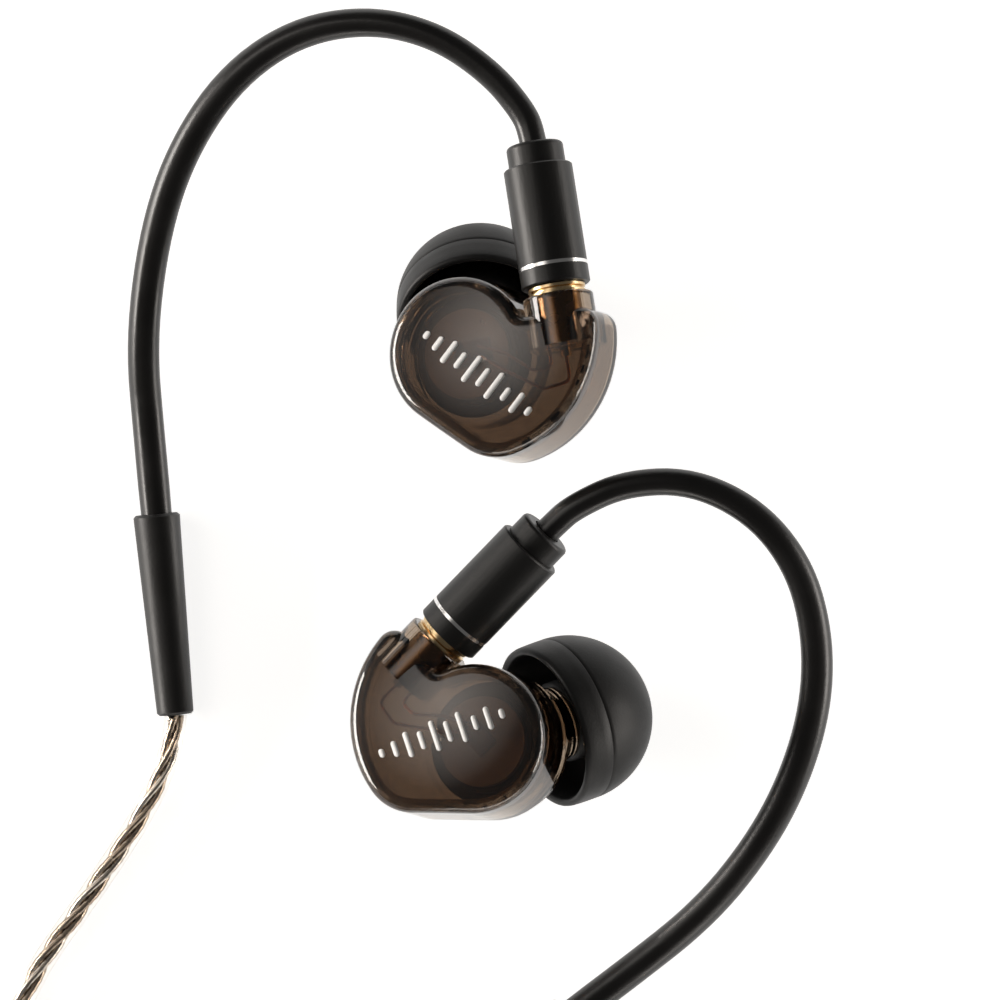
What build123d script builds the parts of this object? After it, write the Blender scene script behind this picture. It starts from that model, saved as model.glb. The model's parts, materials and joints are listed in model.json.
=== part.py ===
"""A pair of in-ear monitors, lying face up on a table with their cord put away.

Millimetres, +Z up, table top at Z = 0. The origin is on the table, under the middle
of the two earpieces and their ear hooks.

Each earpiece is built in a frame of its own: the origin on the driver axis at the
parting plane of the shell, +X from the round lobe towards the wing, +Y along the
connector towards the ear hook, +Z out of the faceplate. The right one is built, and
the left one is its mirror image. Both are then laid on the table.
"""
import os
from math import acos, cos, hypot, pi, radians, sin, sqrt, tan

from build123d import *

# ---------------------------------------------------------------- driving sizes
# Shell outline
LOBE_R = 6.0            # round lobe that holds the driver
WING_R = 10.0           # round side of the wing
WING_X = 1.9            # wing centre, from the driver axis
WING_Y = 0.9
FLANK_ANGLE = 226.0     # where the straight flank leaves the lobe
CHIN_FILLET = 4.5       # between the flank and the round side
SHOULDER_Y = 1.5        # straight top edge of the wing, under the socket boss
SHOULDER_FILLET = 1.5
NOTCH_FILLET = 0.9
SHELL_WALL = 0.8
FACE_RISE = 2.4         # faceplate height over the parting plane
FACE_DOME_R = 40.0
FACE_EDGE = 1.0
DOME_X = 2.0            # top of both domes, from the driver axis
DOME_Y = -1.5
BACK_DEPTH = 5.8        # back shell depth under the parting plane
BACK_DOME_R = 34.0
BACK_EDGE = 1.2
LIP_WIDTH = 0.4         # locating lip of the back shell, inside the faceplate
LIP_RISE = 0.5
LIP_GAP = 0.05

# Connector axis, in the earpiece frame
CONNECTOR_X = 8.4
CONNECTOR_Z = -0.8

# Socket
BOSS_R = 2.83
BOSS_TOP = 2.95
BOSS_DEPTH = 4.15
SOCKET_BODY_R = 1.8
SOCKET_COLLAR_R = 2.3
SOCKET_COLLAR_RISE = 0.72
SOCKET_BORE_DEPTH = 2.9
CONTACT_R = 0.45
CONTACT_RISE = 0.8      # contact, over the floor of the socket bore
CONTACT_TAIL = 0.8      # contact, behind the socket body

# Plug half of the connector
PLUG_R = 1.2
PLUG_LENGTH = 2.75      # plug body that stands out of the barrel
PLUG_WALL = 0.35
PIN_R = 0.25
SNAP_RING_WIRE = 0.24
SNAP_RING_DEPTH = 0.2   # groove depth in the plug body
SNAP_RING_PLACE = 0.75  # groove, behind the plug's front edge
SNAP_RING_SPLIT = 0.5
BARREL_R = 2.76
BARREL_LENGTH = 9.75
BARREL_BORE_R = 1.75
BARREL_FLOOR = 0.35
BARREL_EDGE = 0.12
RING_WIDTH = 0.28       # bright ring round the barrel
RING_DEPTH = 0.26
RING_PLACE = 1.42       # above the barrel's lower end
CAP_R = 2.28
CAP_RISE = 1.87
CAP_STEM = 2.0
CAP_EDGE = 0.35
MATING_GAP = 0.08       # between socket collar and barrel

# Driver, on the driver axis
DRIVER_R = 4.9
DRIVER_BACK = -1.0
DRIVER_DEPTH = 3.2
MAGNET_R = 3.6
MAGNET_DEPTH = 1.6
COIL_R = 2.45           # voice coil
COIL_WALL = 0.2
COIL_GAP = 0.15         # voice coil to magnet, each side
COIL_GAP_DEPTH = 1.4
DIAPHRAGM_THICKNESS = 0.12
DIAPHRAGM_TRAVEL = 0.15
BASKET_WALL = 0.4
GRILLE_THICKNESS = 0.2
GRILLE_HOLE_R = 0.45
BOARD_SIZE = (3.0, 1.8, 0.3)
WIRE_R = 0.14

# Nozzle, along its own axis from a root point under the driver
NOZZLE_ROOT = (-0.15, 0.5, -4.0)
NOZZLE_AXIS = (-0.175, 0.70, -0.69)
CONE_START_R = 3.9
CONE_START = 1.2
CONE_END_R = 2.95
CONE_END = 5.3
NECK_R = 2.35
NECK_END = 10.1
NOZZLE_BORE_R = 1.75
LIP_R = 2.5
LIP_START = 8.7
LIP_LENGTH = 0.8
MESH_R = 2.05
MESH_THICKNESS = 0.15
MESH_HOLE_R = 0.17
MESH_PITCH = 0.62

# Ear tip, along the nozzle axis
TIP_R = 6.7
TIP_WALL = 0.7
TIP_RIM = 3.9
TIP_SKIRT = 2.5         # straight part, from the rim to the dome
TIP_CORE_R = 3.3
TIP_CORE_START = 5.5
TIP_MOUTH_R = 2.2
TIP_RIM_FILLET = 0.3

# Ear hook, its lead and its sleeve
HOOK_R = 1.2
HOOK_BORE_R = 0.95
HOOK_IN_CAP = 2.6
HOOK_IN_SLEEVE = 4.0
HOOK_LEAD_OUT = 1.0     # straight length outside the cap
SLEEVE_LENGTH = 16.2
SLEEVE_TOP_R = 1.88
SLEEVE_END_R = 1.48
SLEEVE_EDGE = 0.2

# Cord
BRANCH_R = 0.9
MAIN_R = 1.25

# Fits
SLIDING_GAP = 0.03      # radial, parts that slide or turn in one another
SEAT_GAP = 0.02         # radial, parts that are glued or pressed in
CORD_GAP = 0.06         # radial, cord in a moulded bore

# How each earpiece lies on its tip: place of its origin on the table, then turns about
# Z, X and Y in degrees
RIGHT_PLACE = (-1.28, 18.15)
RIGHT_TURNS = (8.8, -9.5, -21.5)
LEFT_PLACE = (-0.1, -12.7)
LEFT_TURNS = (-44.0, 10.0, -20.0)

# Corners of each ear hook's route between its cap and its sleeve
RIGHT_HOOK_CORNERS = [
    (3.4, 37.5, 15.1),
    (0.9, 40.5, 14.6),
    (-3.4, 43.5, 13.9),
    (-8.8, 44.8, 12.8),
    (-14.7, 43.8, 11.5),
    (-19.9, 40.2, 10.1),
    (-23.8, 34.4, 8.5),
    (-26.0, 27.9, 6.8),
    (-27.15, 19.3, 4.3),
]
RIGHT_SLEEVE_TOP = (-25.96, 5.33)
RIGHT_SLEEVE_HEADING = -84.6
LEFT_HOOK_CORNERS = [
    (7.7, 6.0, 12.9),
    (11.6, 7.8, 13.4),
    (17.0, 8.0, 13.8),
    (22.2, 5.4, 13.6),
    (25.6, 1.0, 12.9),
    (27.0, -4.4, 11.7),
    (26.9, -9.9, 10.2),
    (25.3, -15.6, 8.5),
    (22.6, -20.9, 6.7),
    (18.3, -26.4, 4.3),
]
LEFT_SLEEVE_TOP = (7.24, -35.07)
LEFT_SLEEVE_HEADING = -143.4
SLEEVE_APPROACH = 6.5   # straight hook before its sleeve
CORD_LEAD_OUT = 3.0     # straight cord after its sleeve

# Put-away coils: middle of the ring, radius at the middle of the turns, section
BRANCH_COIL_AT = (-24.0, -60.0)
BRANCH_COIL_R = 10.0
BRANCH_COIL_WIDTH = 6.0
BRANCH_COIL_HEIGHT = 7.4
MAIN_COIL_AT = (20.0, -98.0)
MAIN_COIL_R = 13.5
MAIN_COIL_WIDTH = 7.9
MAIN_COIL_HEIGHT = 10.2

# Pair of branches between their coil and the splitter
PAIR_Y = -71.5
PAIR_SPACING = 2.2
PAIR_Z = 1.9
SLIDER_LENGTH = 8.0
SLIDER_SIZE = (6.4, 3.8)
SLIDER_AT = -6.0
SPLITTER_START = 10.0
SPLITTER_LENGTH = 14.0
SPLITTER_SIZE = (6.0, 3.8)
SPLITTER_GRIP = 3.0     # cord held inside each end

RIGHT_BRANCH_IN = [
    (-26.0, -17.2, 1.0),
    (-28.4, -21.0, 0.9),
    (-31.9, -26.1, 0.9),
    (-35.8, -31.5, 0.9),
    (-38.5, -38.0, 0.9),
    (-38.4, -45.4, 1.7),
    (-37.0, -52.4, 3.3),
    (-35.7, -59.0, 4.6),
]
LEFT_BRANCH_IN = [
    (-10.6, -47.6, 1.1),
    (-15.6, -48.9, 1.5),
    (-20.9, -48.5, 2.7),
]
RIGHT_COIL_LEAVE = [
    (-22.6, -72.3, 6.2),
    (-17.6, -72.7, 4.8),
]
LEFT_COIL_LEAVE = [
    (-20.4, -71.4, 1.0),
    (-15.8, -70.6, 1.3),
]
MAIN_OUT = [
    (28.2, -71.5, 1.9),
    (34.2, -73.6, 1.5),
    (37.4, -79.2, 1.4),
    (37.9, -86.2, 1.7),
    (35.9, -93.4, 1.4),
]
JACK_IN = [
    (27.0, -112.6, 6.2),
    (20.5, -115.4, 4.0),
    (12.9, -114.5, 2.9),
    (5.4, -113.0, 3.25),
]

# 3.5 mm jack plug
JACK_Y = -113.0
JACK_START = -0.6       # where the cord enters the strain relief
JACK_RELIEF = 9.0
JACK_RELIEF_R = 2.0
JACK_HOUSING = 14.0
JACK_HOUSING_R = 3.25
JACK_PIN_R = 1.75
JACK_SHANK_R = 1.5      # the pin inside the housing
JACK_SHANK = 4.0
JACK_SLEEVE_LENGTH = 7.2
JACK_RING_LENGTH = 2.6
JACK_TIP_LENGTH = 3.2
JACK_GAP = 0.5          # insulator rings between contacts
JACK_TIP_WAIST_R = 1.15


# ---------------------------------------------------------------- helpers
def rod(radius, start, end):
    """A cylinder along +Y on the connector axis."""
    return bored_rod([(0, start), (radius, start), (radius, end), (0, end)])


def bored_rod(profile):
    """A body of revolution about the connector axis, from (radius, along) points."""
    face = make_face(Polyline(*profile, close=True))
    turned = revolve(face, Axis.Y)
    return Pos(CONNECTOR_X, 0, CONNECTOR_Z) * turned


def lathe(profile, frame=Plane.XY):
    """A body of revolution about a frame's Z axis, from (radius, along) points."""
    points = [(radius, 0, along) for radius, along in profile]
    return frame.location * revolve(make_face(Polyline(*points, close=True)), Axis.Z)


def ring(outer, inner, low, high, frame=Plane.XY):
    return lathe([(inner, low), (outer, low), (outer, high), (inner, high)], frame)


def corner_radii(points):
    """The largest bends that the two runs beside each corner leave room for."""
    radii = []
    for before, corner, after in zip(points, points[1:], points[2:]):
        run_in = Vector(*corner) - Vector(*before)
        run_out = Vector(*after) - Vector(*corner)
        half_turn = radians(run_in.get_angle(run_out)) / 2
        radii.append(0.45 * min(run_in.length, run_out.length) / tan(half_turn))
    return radii


def route_line(points, label):
    radii = corner_radii(points)
    line = FilletPolyline(*points, radius=radii)
    print(f"{label}: length {line.length:.1f} mm, bend radii", [round(r, 1) for r in radii])
    return line


def tube(line, radius):
    return sweep(Plane(origin=line @ 0, z_dir=line % 0) * Circle(radius), path=line)


# ---------------------------------------------------------------- shell
def outline(grow=0.0):
    """The kidney outline of the shell, with every wall moved out by grow."""
    lobe_r = LOBE_R + grow
    wing_r = WING_R + grow
    top = SHOULDER_Y + grow
    lean = radians(FLANK_ANGLE)
    touch = Vector(lobe_r * cos(lean), lobe_r * sin(lean))
    flank = Vector(-sin(lean), cos(lean))
    middle = Vector(WING_X, WING_Y)
    back = touch - middle
    reach = -back.dot(flank) + sqrt(back.dot(flank)**2 + wing_r**2 - back.dot(back))
    chin = touch + flank * reach
    shoulder = middle + Vector(sqrt(wing_r**2 - (top - WING_Y)**2), top - WING_Y)
    side = middle + Vector(cos(radians(-45)), sin(radians(-45))) * wing_r
    wing = make_face([
        Line((0, 0), touch), Line(touch, chin), ThreePointArc(chin, side, shoulder),
        Line(shoulder, (0, top)), Line((0, top), (0, 0)),
    ])
    shape = Circle(lobe_r) + wing
    shape = fillet(shape.vertices().sort_by_distance(chin)[0], CHIN_FILLET + grow)
    shape = fillet(shape.vertices().sort_by_distance(shoulder)[0], SHOULDER_FILLET + grow)
    notch = Vector(sqrt(lobe_r**2 - top**2), top)
    return fillet(shape.vertices().sort_by_distance(notch)[0], NOTCH_FILLET - grow)


def domed(face, height, dome_r, edge):
    """The outline raised to height (down if negative), domed and rounded at its edge."""
    block = extrude(face, height)
    side = 1 if height > 0 else -1
    ball = Pos(DOME_X, DOME_Y, height - side * dome_r) * Sphere(dome_r)
    block = block & ball
    if edge:
        rim = [e for e in block.edges() if side * e.center().Z > 0.1 and not is_upright(e)]
        block = fillet(rim, edge)
    return block


def is_upright(edge):
    return abs((edge @ 1 - edge @ 0).Z) > 0.6 * edge.length


def nozzle_frame():
    return Plane(origin=NOZZLE_ROOT, x_dir=(1, 0, 0.25), z_dir=NOZZLE_AXIS)


def faceplate():
    shell = domed(outline(), FACE_RISE, FACE_DOME_R, FACE_EDGE)
    inside = domed(outline(-SHELL_WALL), FACE_RISE - SHELL_WALL, FACE_DOME_R - SHELL_WALL, 0)
    return shell - inside - rod(BOSS_R + SEAT_GAP, BOSS_TOP - BOSS_DEPTH, BOSS_TOP + 1)


def cavity():
    depth = BACK_DEPTH - SHELL_WALL
    return domed(outline(-SHELL_WALL), -depth, BACK_DOME_R - SHELL_WALL, BACK_EDGE - SHELL_WALL)


def back_shell():
    frame = nozzle_frame()
    cone = lathe([
        (0, CONE_START), (CONE_START_R, CONE_START), (CONE_END_R, CONE_END),
        (NECK_R, CONE_END), (NECK_R, LIP_START), (LIP_R, LIP_START + LIP_LENGTH / 2),
        (NECK_R, LIP_START + LIP_LENGTH), (NECK_R, NECK_END), (0, NECK_END),
    ], frame)
    shell = domed(outline(), -BACK_DEPTH, BACK_DOME_R, BACK_EDGE) + cone
    shell -= cavity()
    seat_r = DRIVER_R + SLIDING_GAP
    front = DRIVER_BACK - DRIVER_DEPTH
    seat = ring(LOBE_R - SHELL_WALL / 2, DRIVER_R - BASKET_WALL, front - 2 * SHELL_WALL, front)
    wall = ring(LOBE_R - SHELL_WALL / 2, seat_r, front, front + 1.6)
    inner_side = extrude(outline(-SHELL_WALL / 2), -(BACK_DEPTH - SHELL_WALL / 2))
    shell += (seat + wall) & inner_side
    boss = rod(BOSS_R, BOSS_TOP - BOSS_DEPTH, BOSS_TOP)
    shell += fillet(boss.edges().sort_by(Axis.Y)[-1], 0.2)
    shell -= rod(SOCKET_BODY_R + SEAT_GAP, BOSS_TOP - BOSS_DEPTH - 1, BOSS_TOP + 1)
    shell -= lathe([(0, CONE_START), (NOZZLE_BORE_R, CONE_START),
                    (NOZZLE_BORE_R, NECK_END + 1), (0, NECK_END + 1)], frame)
    shell -= ring(MESH_R + SEAT_GAP, 0.0, NECK_END - MESH_THICKNESS, NECK_END + 1, frame)
    lip_low = extrude(outline(-SHELL_WALL + LIP_GAP) - outline(-SHELL_WALL - LIP_WIDTH), -SHELL_WALL)
    lip_top = extrude(outline(-SHELL_WALL - LIP_GAP) - outline(-SHELL_WALL - LIP_WIDTH), LIP_RISE)
    round_boss = rod(BOSS_R + LIP_GAP, BOSS_TOP - BOSS_DEPTH, BOSS_TOP)
    whole = shell + (lip_low + lip_top - round_boss)
    return whole.solids().sort_by(SortBy.VOLUME)[-1]


def nozzle_mesh():
    frame = nozzle_frame()
    disc = ring(MESH_R, 0.0, NECK_END - MESH_THICKNESS, NECK_END, frame)
    holes = [
        Pos(x, y) * Circle(MESH_HOLE_R)
        for x, y in hexagon_points(MESH_PITCH, MESH_R - 2 * MESH_HOLE_R)
    ]
    cutter = frame.location * Pos(0, 0, NECK_END - 1) * extrude(Sketch() + holes, 2)
    return disc - cutter


def hexagon_points(pitch, reach):
    rows = range(-4, 5)
    places = [((i + j / 2) * pitch, j * pitch * sqrt(3) / 2) for i in rows for j in rows]
    return [place for place in places if hypot(*place) <= reach]


def ear_tip():
    frame = nozzle_frame()
    centre = TIP_RIM + TIP_SKIRT
    hollow_r = TIP_R - TIP_WALL
    bore_r = LIP_R + SLIDING_GAP
    lip_r = TIP_MOUTH_R + TIP_WALL
    dome_end = centre + sqrt(TIP_R**2 - lip_r**2)
    hollow_end = centre + sqrt(hollow_r**2 - TIP_CORE_R**2)

    def at(radius, along):
        return (radius, 0, along)

    def mid(radius, edge_r):
        half = (pi / 2 + acos(edge_r / radius)) / 2 - pi / 4
        return at(radius * cos(half), centre + radius * sin(half))

    step = NECK_END + SLIDING_GAP
    profile = [
        Line(at(TIP_R, TIP_RIM), at(TIP_R, centre)),
        ThreePointArc(at(TIP_R, centre), mid(TIP_R, lip_r), at(lip_r, dome_end)),
        Line(at(lip_r, dome_end), at(TIP_MOUTH_R, dome_end)),
        Line(at(TIP_MOUTH_R, dome_end), at(TIP_MOUTH_R, step)),
        Line(at(TIP_MOUTH_R, step), at(bore_r, step)),
        Line(at(bore_r, step), at(bore_r, TIP_CORE_START)),
        Line(at(bore_r, TIP_CORE_START), at(TIP_CORE_R, TIP_CORE_START)),
        Line(at(TIP_CORE_R, TIP_CORE_START), at(TIP_CORE_R, hollow_end)),
        ThreePointArc(at(TIP_CORE_R, hollow_end), mid(hollow_r, TIP_CORE_R), at(hollow_r, centre)),
        Line(at(hollow_r, centre), at(hollow_r, TIP_RIM)),
        Line(at(hollow_r, TIP_RIM), at(TIP_R, TIP_RIM)),
    ]
    tip = revolve(make_face(profile), Axis.Z)
    rim = tip.edges().filter_by_position(Axis.Z, TIP_RIM - 0.01, TIP_RIM + 0.01)
    return frame.location * fillet(rim, TIP_RIM_FILLET)


# ---------------------------------------------------------------- driver
def driver_magnet():
    back = DRIVER_BACK
    front = back - MAGNET_DEPTH
    cup = ring(MAGNET_R, 0.0, front, back)
    outer = COIL_R + COIL_WALL / 2 + COIL_GAP
    inner = COIL_R - COIL_WALL / 2 - COIL_GAP
    return cup - ring(outer, inner, front - 1, front + COIL_GAP_DEPTH)


def driver_basket():
    front = DRIVER_BACK - DRIVER_DEPTH
    plate = DRIVER_BACK - MAGNET_DEPTH
    body = lathe([
        (MAGNET_R + SEAT_GAP, plate), (DRIVER_R, plate), (DRIVER_R, front), (0, front),
        (0, front + GRILLE_THICKNESS), (DRIVER_R - BASKET_WALL, front + GRILLE_THICKNESS),
        (DRIVER_R - BASKET_WALL, plate - BASKET_WALL), (MAGNET_R + SEAT_GAP, plate - BASKET_WALL),
    ])
    collar = ring(MAGNET_R + SEAT_GAP + BASKET_WALL, MAGNET_R + SEAT_GAP, plate, plate + 1.0)
    holes = [Circle(GRILLE_HOLE_R)]
    for count, radius in ((6, 1.5), (12, 2.9)):
        holes += PolarLocations(radius, count) * Circle(GRILLE_HOLE_R)
    cutter = Pos(0, 0, front - 1) * extrude(Sketch() + holes, 1 + 2 * GRILLE_THICKNESS)
    return body + collar - cutter


def diaphragm():
    rest = DRIVER_BACK - MAGNET_DEPTH - BASKET_WALL - DIAPHRAGM_TRAVEL - 0.08
    edge_r = DRIVER_R - BASKET_WALL - 2 * SLIDING_GAP
    foil = DIAPHRAGM_THICKNESS
    dome_rise = 0.35
    arch_r = (COIL_R + COIL_WALL + edge_r) / 2

    def shifted(low):
        return [
            (0, low - dome_rise), (COIL_R / 2, low - dome_rise * 0.75), (COIL_R, low),
            (arch_r, low - dome_rise * 0.7), (edge_r, low),
        ]

    under = shifted(rest)
    over = [(radius, along - foil) for radius, along in reversed(under)]
    foil_body = lathe(under + over)
    former_top = rest + BASKET_WALL + DIAPHRAGM_TRAVEL + 0.9
    return foil_body + ring(COIL_R + COIL_WALL / 2, COIL_R - COIL_WALL / 2, rest - foil, former_top)


def terminal_board():
    width, depth, thickness = BOARD_SIZE
    return Pos(0.6, 0, DRIVER_BACK + thickness / 2) * Box(width, depth, thickness)


def driver_wires():
    top = DRIVER_BACK + BOARD_SIZE[2] + WIRE_R
    floor = BOSS_TOP - BOSS_DEPTH
    to_contact = [
        (1.2, -0.4, top), (3.4, -2.2, -0.4), (6.2, -4.2, -0.5),
        (CONNECTOR_X, -4.0, CONNECTOR_Z), (CONNECTOR_X, floor - CONTACT_TAIL, CONNECTOR_Z),
    ]
    body_x = CONNECTOR_X - (SOCKET_BODY_R + CONTACT_R * 2) / 2
    to_body = [
        (1.2, 0.4, top), (3.6, -0.8, -0.4), (5.5, -2.5, -0.5),
        (body_x, -2.7, CONNECTOR_Z), (body_x, floor, CONNECTOR_Z),
    ]
    lines = [FilletPolyline(*points, radius=0.6) for points in (to_contact, to_body)]
    return [tube(line, WIRE_R) for line in lines]


# ---------------------------------------------------------------- connector
BARREL_START = BOSS_TOP + SOCKET_COLLAR_RISE + MATING_GAP
BARREL_END = BARREL_START + BARREL_LENGTH
CAP_END = BARREL_END + CAP_RISE
SOCKET_TOP = BOSS_TOP + SOCKET_COLLAR_RISE
SOCKET_FLOOR = SOCKET_TOP - SOCKET_BORE_DEPTH
SOCKET_END = BOSS_TOP - BOSS_DEPTH
PLUG_FRONT = BARREL_START - PLUG_LENGTH
PLUG_BORE_R = PLUG_R - PLUG_WALL
PIN_END = BARREL_START + 3.4


def socket_body():
    bore_r = PLUG_R + SLIDING_GAP + SEAT_GAP
    inner_r = CONTACT_R * 2
    return bored_rod([
        (inner_r, SOCKET_END), (SOCKET_BODY_R, SOCKET_END), (SOCKET_BODY_R, BOSS_TOP),
        (SOCKET_COLLAR_R, BOSS_TOP), (SOCKET_COLLAR_R, BOSS_TOP + 0.22),
        (SOCKET_COLLAR_R - 0.3, BOSS_TOP + 0.3), (SOCKET_COLLAR_R - 0.3, BOSS_TOP + 0.42),
        (SOCKET_COLLAR_R, BOSS_TOP + 0.5), (SOCKET_COLLAR_R, SOCKET_TOP),
        (bore_r, SOCKET_TOP), (bore_r, SOCKET_FLOOR), (inner_r, SOCKET_FLOOR),
    ])


def socket_insulator():
    inner_r = CONTACT_R + SEAT_GAP
    outer_r = CONTACT_R * 2 - SEAT_GAP
    return bored_rod([(inner_r, SOCKET_END), (outer_r, SOCKET_END),
                      (outer_r, SOCKET_FLOOR), (inner_r, SOCKET_FLOOR)])


def socket_contact():
    rear = SOCKET_END - CONTACT_TAIL
    top = SOCKET_FLOOR + CONTACT_RISE
    bore_r = PIN_R + SLIDING_GAP
    return bored_rod([(0, rear), (CONTACT_R, rear), (CONTACT_R, top), (bore_r, top),
                      (bore_r, SOCKET_FLOOR - 0.9), (0, SOCKET_FLOOR - 0.9)])


def plug_body():
    groove = PLUG_FRONT + SNAP_RING_PLACE
    groove_r = PLUG_R - SNAP_RING_DEPTH
    width = SNAP_RING_WIRE + 2 * SLIDING_GAP
    flange = BARREL_START + BARREL_FLOOR
    flange_r = BARREL_BORE_R - SEAT_GAP
    return bored_rod([
        (PLUG_BORE_R, PLUG_FRONT), (PLUG_R, PLUG_FRONT), (PLUG_R, groove), (groove_r, groove),
        (groove_r, groove + width), (PLUG_R, groove + width), (PLUG_R, flange),
        (flange_r, flange), (flange_r, flange + 2.4), (PLUG_BORE_R, flange + 2.4),
    ])


def snap_ring():
    low = PLUG_FRONT + SNAP_RING_PLACE + SLIDING_GAP
    inner_r = PLUG_R - SNAP_RING_DEPTH + SLIDING_GAP
    outer_r = PLUG_R + SEAT_GAP
    whole = bored_rod([(inner_r, low), (outer_r, low),
                       (outer_r, low + SNAP_RING_WIRE), (inner_r, low + SNAP_RING_WIRE)])
    gap = Pos(CONNECTOR_X, low, CONNECTOR_Z + PLUG_R) * Box(SNAP_RING_SPLIT, 2, PLUG_R)
    return whole - gap


def plug_insulator():
    start = SOCKET_FLOOR + CONTACT_RISE + 0.3
    return bored_rod([(PIN_R, start), (PLUG_BORE_R, start),
                      (PLUG_BORE_R, PIN_END - 0.6), (PIN_R, PIN_END - 0.6)])


def plug_pin():
    return bored_rod([(0, PLUG_FRONT + 0.2), (PIN_R * 0.6, PLUG_FRONT), (PIN_R, PLUG_FRONT + 0.3),
                      (PIN_R, PIN_END), (0, PIN_END)])


def connector_barrel():
    edge = BARREL_EDGE
    groove = BARREL_START + RING_PLACE
    hole_r = PLUG_R + SEAT_GAP
    inner_r = BARREL_R - RING_DEPTH
    return bored_rod([
        (hole_r, BARREL_START), (BARREL_R - edge, BARREL_START), (BARREL_R, BARREL_START + edge),
        (BARREL_R, groove), (inner_r, groove), (inner_r, groove + RING_WIDTH),
        (BARREL_R, groove + RING_WIDTH), (BARREL_R, BARREL_END - edge),
        (BARREL_R - edge, BARREL_END), (BARREL_BORE_R, BARREL_END),
        (BARREL_BORE_R, BARREL_START + BARREL_FLOOR), (hole_r, BARREL_START + BARREL_FLOOR),
    ])


def barrel_ring():
    groove = BARREL_START + RING_PLACE
    inner_r = BARREL_R - RING_DEPTH
    return bored_rod([(inner_r, groove), (BARREL_R, groove),
                      (BARREL_R, groove + RING_WIDTH), (inner_r, groove + RING_WIDTH)])


def barrel_cap():
    stem_r = BARREL_BORE_R - SEAT_GAP
    hook_hole_r = HOOK_R + SEAT_GAP
    lead_hole_r = BRANCH_R + SEAT_GAP
    stop = CAP_END - HOOK_IN_CAP
    stem = BARREL_END - CAP_STEM
    body = bored_rod([
        (lead_hole_r, stem), (stem_r, stem), (stem_r, BARREL_END), (CAP_R, BARREL_END),
        (CAP_R, CAP_END), (hook_hole_r, CAP_END), (hook_hole_r, stop), (lead_hole_r, stop),
    ])
    rims = body.edges().filter_by_position(Axis.Y, CAP_END - 0.01, CAP_END + 0.01)
    return fillet(rims.sort_by(SortBy.RADIUS)[-1], CAP_EDGE)


# ---------------------------------------------------------------- laying on the table
def lying(place, turns, tip):
    """The place and turns of an earpiece whose ear tip rests on the table."""
    about_z, about_x, about_y = turns
    turned = Rot(0, 0, about_z) * Rot(about_x, 0, 0) * Rot(0, about_y, 0)
    lowest = (turned * tip).bounding_box().min.Z
    return Pos(*place, -lowest) * turned


def axis_point(where, side, along):
    """A point of the connector axis, on the table."""
    point = where * Pos(side * CONNECTOR_X, along, CONNECTOR_Z)
    return tuple(point.position)


def sleeve_ends(top, heading):
    """The two ends of a sleeve that lies on the table on its tapered side."""
    flat = sqrt(SLEEVE_LENGTH**2 - (SLEEVE_TOP_R - SLEEVE_END_R)**2)
    end = (top[0] + flat * cos(radians(heading)), top[1] + flat * sin(radians(heading)))
    return Vector(*top, SLEEVE_TOP_R), Vector(*end, SLEEVE_END_R)


def hook_parts(where, side, corners, top, heading, label):
    """Ear hook, the lead inside it and the sleeve at its end."""
    first, last = sleeve_ends(top, heading)
    along = (last - first).normalized()
    approach = tuple(first - along * SLEEVE_APPROACH)
    leave = axis_point(where, side, CAP_END + HOOK_LEAD_OUT)
    hook_start = axis_point(where, side, CAP_END - HOOK_IN_CAP)
    hook_end = tuple(first + along * HOOK_IN_SLEEVE)
    bends = [hook_start, leave] + corners + [approach]
    hook_line = route_line(bends + [hook_end], label + " ear hook")
    hook = tube(hook_line, HOOK_R) - tube(hook_line, HOOK_BORE_R)

    lead_line = Wire([
        Line(axis_point(where, side, PIN_END), hook_start),
        *hook_line.edges(),
        Line(hook_end, tuple(last)),
    ])
    lead = tube(lead_line, BRANCH_R)

    frame = Plane(origin=first, z_dir=along)
    bore_r = BRANCH_R + CORD_GAP
    sleeve = lathe([
        (HOOK_R + SEAT_GAP, 0), (SLEEVE_TOP_R - SLEEVE_EDGE, 0), (SLEEVE_TOP_R, SLEEVE_EDGE),
        (SLEEVE_END_R, SLEEVE_LENGTH - SLEEVE_EDGE), (SLEEVE_END_R - SLEEVE_EDGE, SLEEVE_LENGTH),
        (bore_r, SLEEVE_LENGTH), (bore_r, HOOK_IN_SLEEVE), (HOOK_R + SEAT_GAP, HOOK_IN_SLEEVE),
    ], frame)
    lead_out = [tuple(last), tuple(last + along * CORD_LEAD_OUT)]
    return {"ear_hook": hook, "hook_lead": lead, "hook_sleeve": sleeve}, lead_out


# ---------------------------------------------------------------- cord
def coil(at, radius, width, height):
    """The outer shape of a neat coil: a ring with a rounded section, flat on the table."""
    bar = Pos(radius, 0) * RectangleRounded(width, height, min(width, height) * 0.3)
    section = Plane.XZ * Pos(0, height / 2) * bar
    return Pos(at[0], at[1], 0) * revolve(section, Axis.Z)


def pair_stretch(offset, coil_leave):
    """One branch between its coil and the splitter, side by side with the other."""
    y = PAIR_Y + offset
    return coil_leave + [
        (SLIDER_AT - 4.8, y, PAIR_Z),
        (SPLITTER_START + SPLITTER_GRIP, y, PAIR_Z),
    ]


def chin_slider():
    body = stadium_bar(SLIDER_AT, SLIDER_LENGTH, SLIDER_SIZE)
    hole = Plane.YZ * Circle(BRANCH_R + CORD_GAP)
    for offset in (-PAIR_SPACING / 2, PAIR_SPACING / 2):
        body -= Pos(SLIDER_AT - 1, PAIR_Y + offset, PAIR_Z) * extrude(hole, SLIDER_LENGTH + 2)
    return body


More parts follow.
